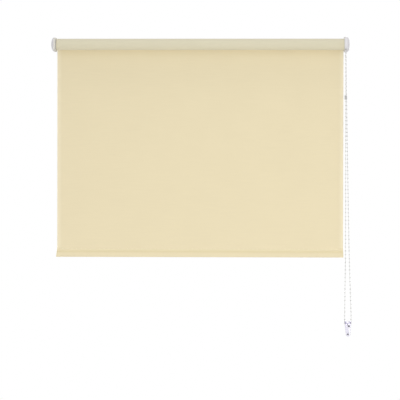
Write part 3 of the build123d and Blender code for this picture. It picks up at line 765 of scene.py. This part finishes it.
def right_hood():
    """A deep hood over the drive with a round outer corner and two slots for the chain."""
    low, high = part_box("right_cover")
    rim, outer, radius, corner = low.x, high.x, high.z, 10 * mm
    let_go()
    bpy.ops.mesh.primitive_cylinder_add(
        vertices=128,
        radius=radius,
        depth=outer - rim,
        location=((rim + outer) / 2, roller_axis_y, 0),
        rotation=(0, math.pi / 2, 0),
    )
    hood = settle(just_added("right_hood"))
    pick(hood, "FACE", lambda face: face.normal.x < -0.5)
    bpy.ops.mesh.delete(type="FACE")
    pick(hood, "EDGE", lambda edge: all(abs(v.co.x - outer) < hair for v in edge.verts))
    bpy.ops.mesh.bevel(offset=corner, segments=12, affect="EDGES")
    pick(hood, "VERT", everything)
    bpy.ops.mesh.bisect(plane_co=(0, roller_axis_y, 0), plane_no=(0, 1, 0), clear_outer=True)
    reach_back(hood)
    face_outwards(hood, Vector((rim, roller_axis_y / 2, 0)))
    finish_with(hood, "SOLIDIFY", thickness=cover_wall, offset=-1)
    slot_size, slot_x, slot_z = Vector((6.8, 5.6, 16)) * mm, 455.9 * mm, -17 * mm
    front_strand, rear_strand = -44.7 * mm, -14.6 * mm
    for strand in (front_strand, rear_strand):
        let_go()
        bpy.ops.mesh.primitive_cube_add(size=1, location=(slot_x, strand, slot_z), scale=slot_size)
        cutter = settle(just_added("slot_cutter"))
        finish_with(hood, "BOOLEAN", operation="DIFFERENCE", object=cutter, solver="EXACT")
        bpy.data.objects.remove(cutter)
    ease_edges(hood, cover_ease)
    smooth(hood)
    return hood


left_cover, right_cover = left_dome(), right_hood()
wear(left_cover, satin_abs)
wear(right_cover, satin_abs)


# The chain's holder and the idler's coil: the frame's own forms with eased edges
def eased_copy(node, name, ease):
    """A copy of a CAD node with its facets merged and its edges rounded."""
    let_go()
    piece = nodes[node].copy()
    piece.data = nodes[node].data.copy()
    for key in list(piece.keys()):
        del piece[key]
    piece.parent = None
    bpy.context.scene.collection.objects.link(piece)
    piece.name = piece.data.name = name
    pick(piece, "VERT", everything)
    bpy.ops.mesh.remove_doubles(threshold=hair)
    bpy.ops.mesh.customdata_custom_splitnormals_clear()
    bpy.ops.mesh.dissolve_limited(angle_limit=math.radians(1))
    let_go()
    ease_edges(piece, ease, sharp=40)
    smooth(piece)
    return piece


chain_holder = eased_copy("tensioner_body", "chain_holder", 0.4 * mm)
wear(chain_holder, clear_polycarbonate)
pin_coil = eased_copy("idler_spring", "pin_coil", 0.05 * mm)
wear(pin_coil, spring_steel)

# Finishes of the nodes that stay as they are
for finish, names in (
    (grey_polypropylene, ("left_bracket", "right_bracket", "chain_guard")),
    (white_acetal, ("idler_plug", "tube_crown", "chain_wheel", "clutch_spindle")),
    (spring_steel, ("idler_pin", "brake_spring", "spindle_clip")),
    (dull_zinc, ("tensioner_screws",)),
    (mill_aluminium, ("roller_tube", "hem_bar")),
    (cap_plastic, ("hem_plug_left", "hem_plug_right")),
    (film_tape, ("fixing_tape",)),
):
    for name in names:
        wear(nodes[name], finish)

# What each piece rides on, stands for and is made of
for piece, body, slot, replaced in (
    (chain_cord, "frame", "chain_plastic", ("bead_chain",)),
    (chain_beads, "frame", "chain_plastic", ("bead_chain",)),
    (joiner, "joiner", "joiner_plastic", ("chain_joiner",)),
    (cloth_front, "frame", "blind_cloth", ("fabric_panel",)),
    (cloth_behind, "hem", "blind_cloth", ("fabric_panel",)),
    (cloth_roll, "roller", "blind_cloth", ("fabric_roll",)),
    (cloth_hem, "hem", "blind_cloth", ("hem_pocket",)),
    (hem_seam, "hem", "sewing_thread", ("hem_stitching",)),
    (left_cover, "frame", "cover_plastic", ("left_cover",)),
    (right_cover, "frame", "cover_plastic", ("right_cover",)),
    (chain_holder, "frame", "clear_plastic", ("tensioner_body",)),
    (pin_coil, "roller", "spring_steel", ("idler_spring",)),
):
    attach(piece, body)
    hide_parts(*replaced)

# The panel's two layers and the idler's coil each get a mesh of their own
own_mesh(cloth_front)
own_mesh(cloth_behind)
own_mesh(pin_coil)

# Floor: a pale plane below the blind in matt paint
floor_middle, floor_size, floor_cloud_size = (0, -1.2, -1.25), (4, 3.6, 1), 333 * mm
let_go()
bpy.ops.mesh.primitive_plane_add(size=1, location=floor_middle)
floor = just_added("floor")
floor.scale = floor_size
settle(floor)
floor_paint, floor_tree, floor_shader = finish_named(
    "floor paint, matt", Roughness=0.9, Specular_IOR_Level=0.0
)
floor_place = add(floor_tree, "ShaderNodeTexCoord").outputs["Object"]
floor_cloud = add(floor_tree, "ShaderNodeTexNoise", {"Vector": floor_place, "Scale": 1 / floor_cloud_size})
floor_tone = add(
    floor_tree,
    "ShaderNodeMix",
    {0: floor_cloud.outputs["Fac"], 6: linear("#F0EFED"), 7: linear("#F6F5F3")},
    data_type="RGBA",
)
floor_tree.links.new(floor_tone.outputs[2], floor_shader.inputs["Base Color"])
wear(floor, floor_paint)


# Light: an even pale room, a large soft light in front, level with the blind and a little to the right,
# weaker ones above and behind, and one that shines on the floor, whose bounce lights the roll from below
def soft_light(name, place, aim, size, power, spread=180):
    """An area lamp at place that faces aim, its size in metres, power in watts and spread in degrees."""
    lamp = bpy.data.lights.new(name, "AREA")
    lamp.spread = math.radians(spread)
    lamp.shape = "RECTANGLE"
    lamp.size, lamp.size_y = size
    lamp.energy = power
    stand = bpy.data.objects.new(name, lamp)
    stand.location = place
    stand.rotation_euler = (Vector(aim) - Vector(place)).to_track_quat("-Z", "Y").to_euler()
    bpy.context.scene.collection.objects.link(stand)


soft_light("front_light", (0.75, -4.1, -0.45), (0, 0, -0.3), (3.2, 1.6), 57.5)
soft_light("high_light", (0.7, -2.4, 1.9), (0, 0, -0.1), (3.0, 1.2), 8.5)
soft_light("floor_light", (0, -1.2, 0.6), floor_middle, (3.4, 2.0), 8, spread=60)
soft_light("back_light", (0.8, 3.6, 0.5), (0, 0, -0.35), (3.0, 2.0), 36)
soft_light("top_light", (0, -0.3, 1.7), (0, -0.03, 0), (2.4, 0.5), 8)

# The room is white to the eye, in reflections and through clear plastic, and lights the blind at half that
room = bpy.data.worlds.new("room")
bpy.context.scene.world = room
room.use_nodes = True
sky = room.node_tree
sky.nodes.clear()
path = add(sky, "ShaderNodeLightPath")
seen = add(
    sky,
    "ShaderNodeMath",
    {0: path.outputs["Is Camera Ray"], 1: path.outputs["Is Glossy Ray"]},
    operation="MAXIMUM",
)
seen = add(
    sky,
    "ShaderNodeMath",
    {0: seen.outputs[0], 1: path.outputs["Is Transmission Ray"]},
    operation="MAXIMUM",
)
white = add(sky, "ShaderNodeBackground", {"Color": linear("#FFFFFF"), "Strength": 1.0})
ambient = add(sky, "ShaderNodeBackground", {"Color": linear("#FFFFFF"), "Strength": 0.5})
mixed = add(
    sky, "ShaderNodeMixShader", {0: seen.outputs[0], 1: ambient.outputs[0], 2: white.outputs[0]}
)
add(sky, "ShaderNodeOutputWorld", {"Surface": mixed.outputs[0]})

bpy.context.scene.view_settings.view_transform = "Standard"
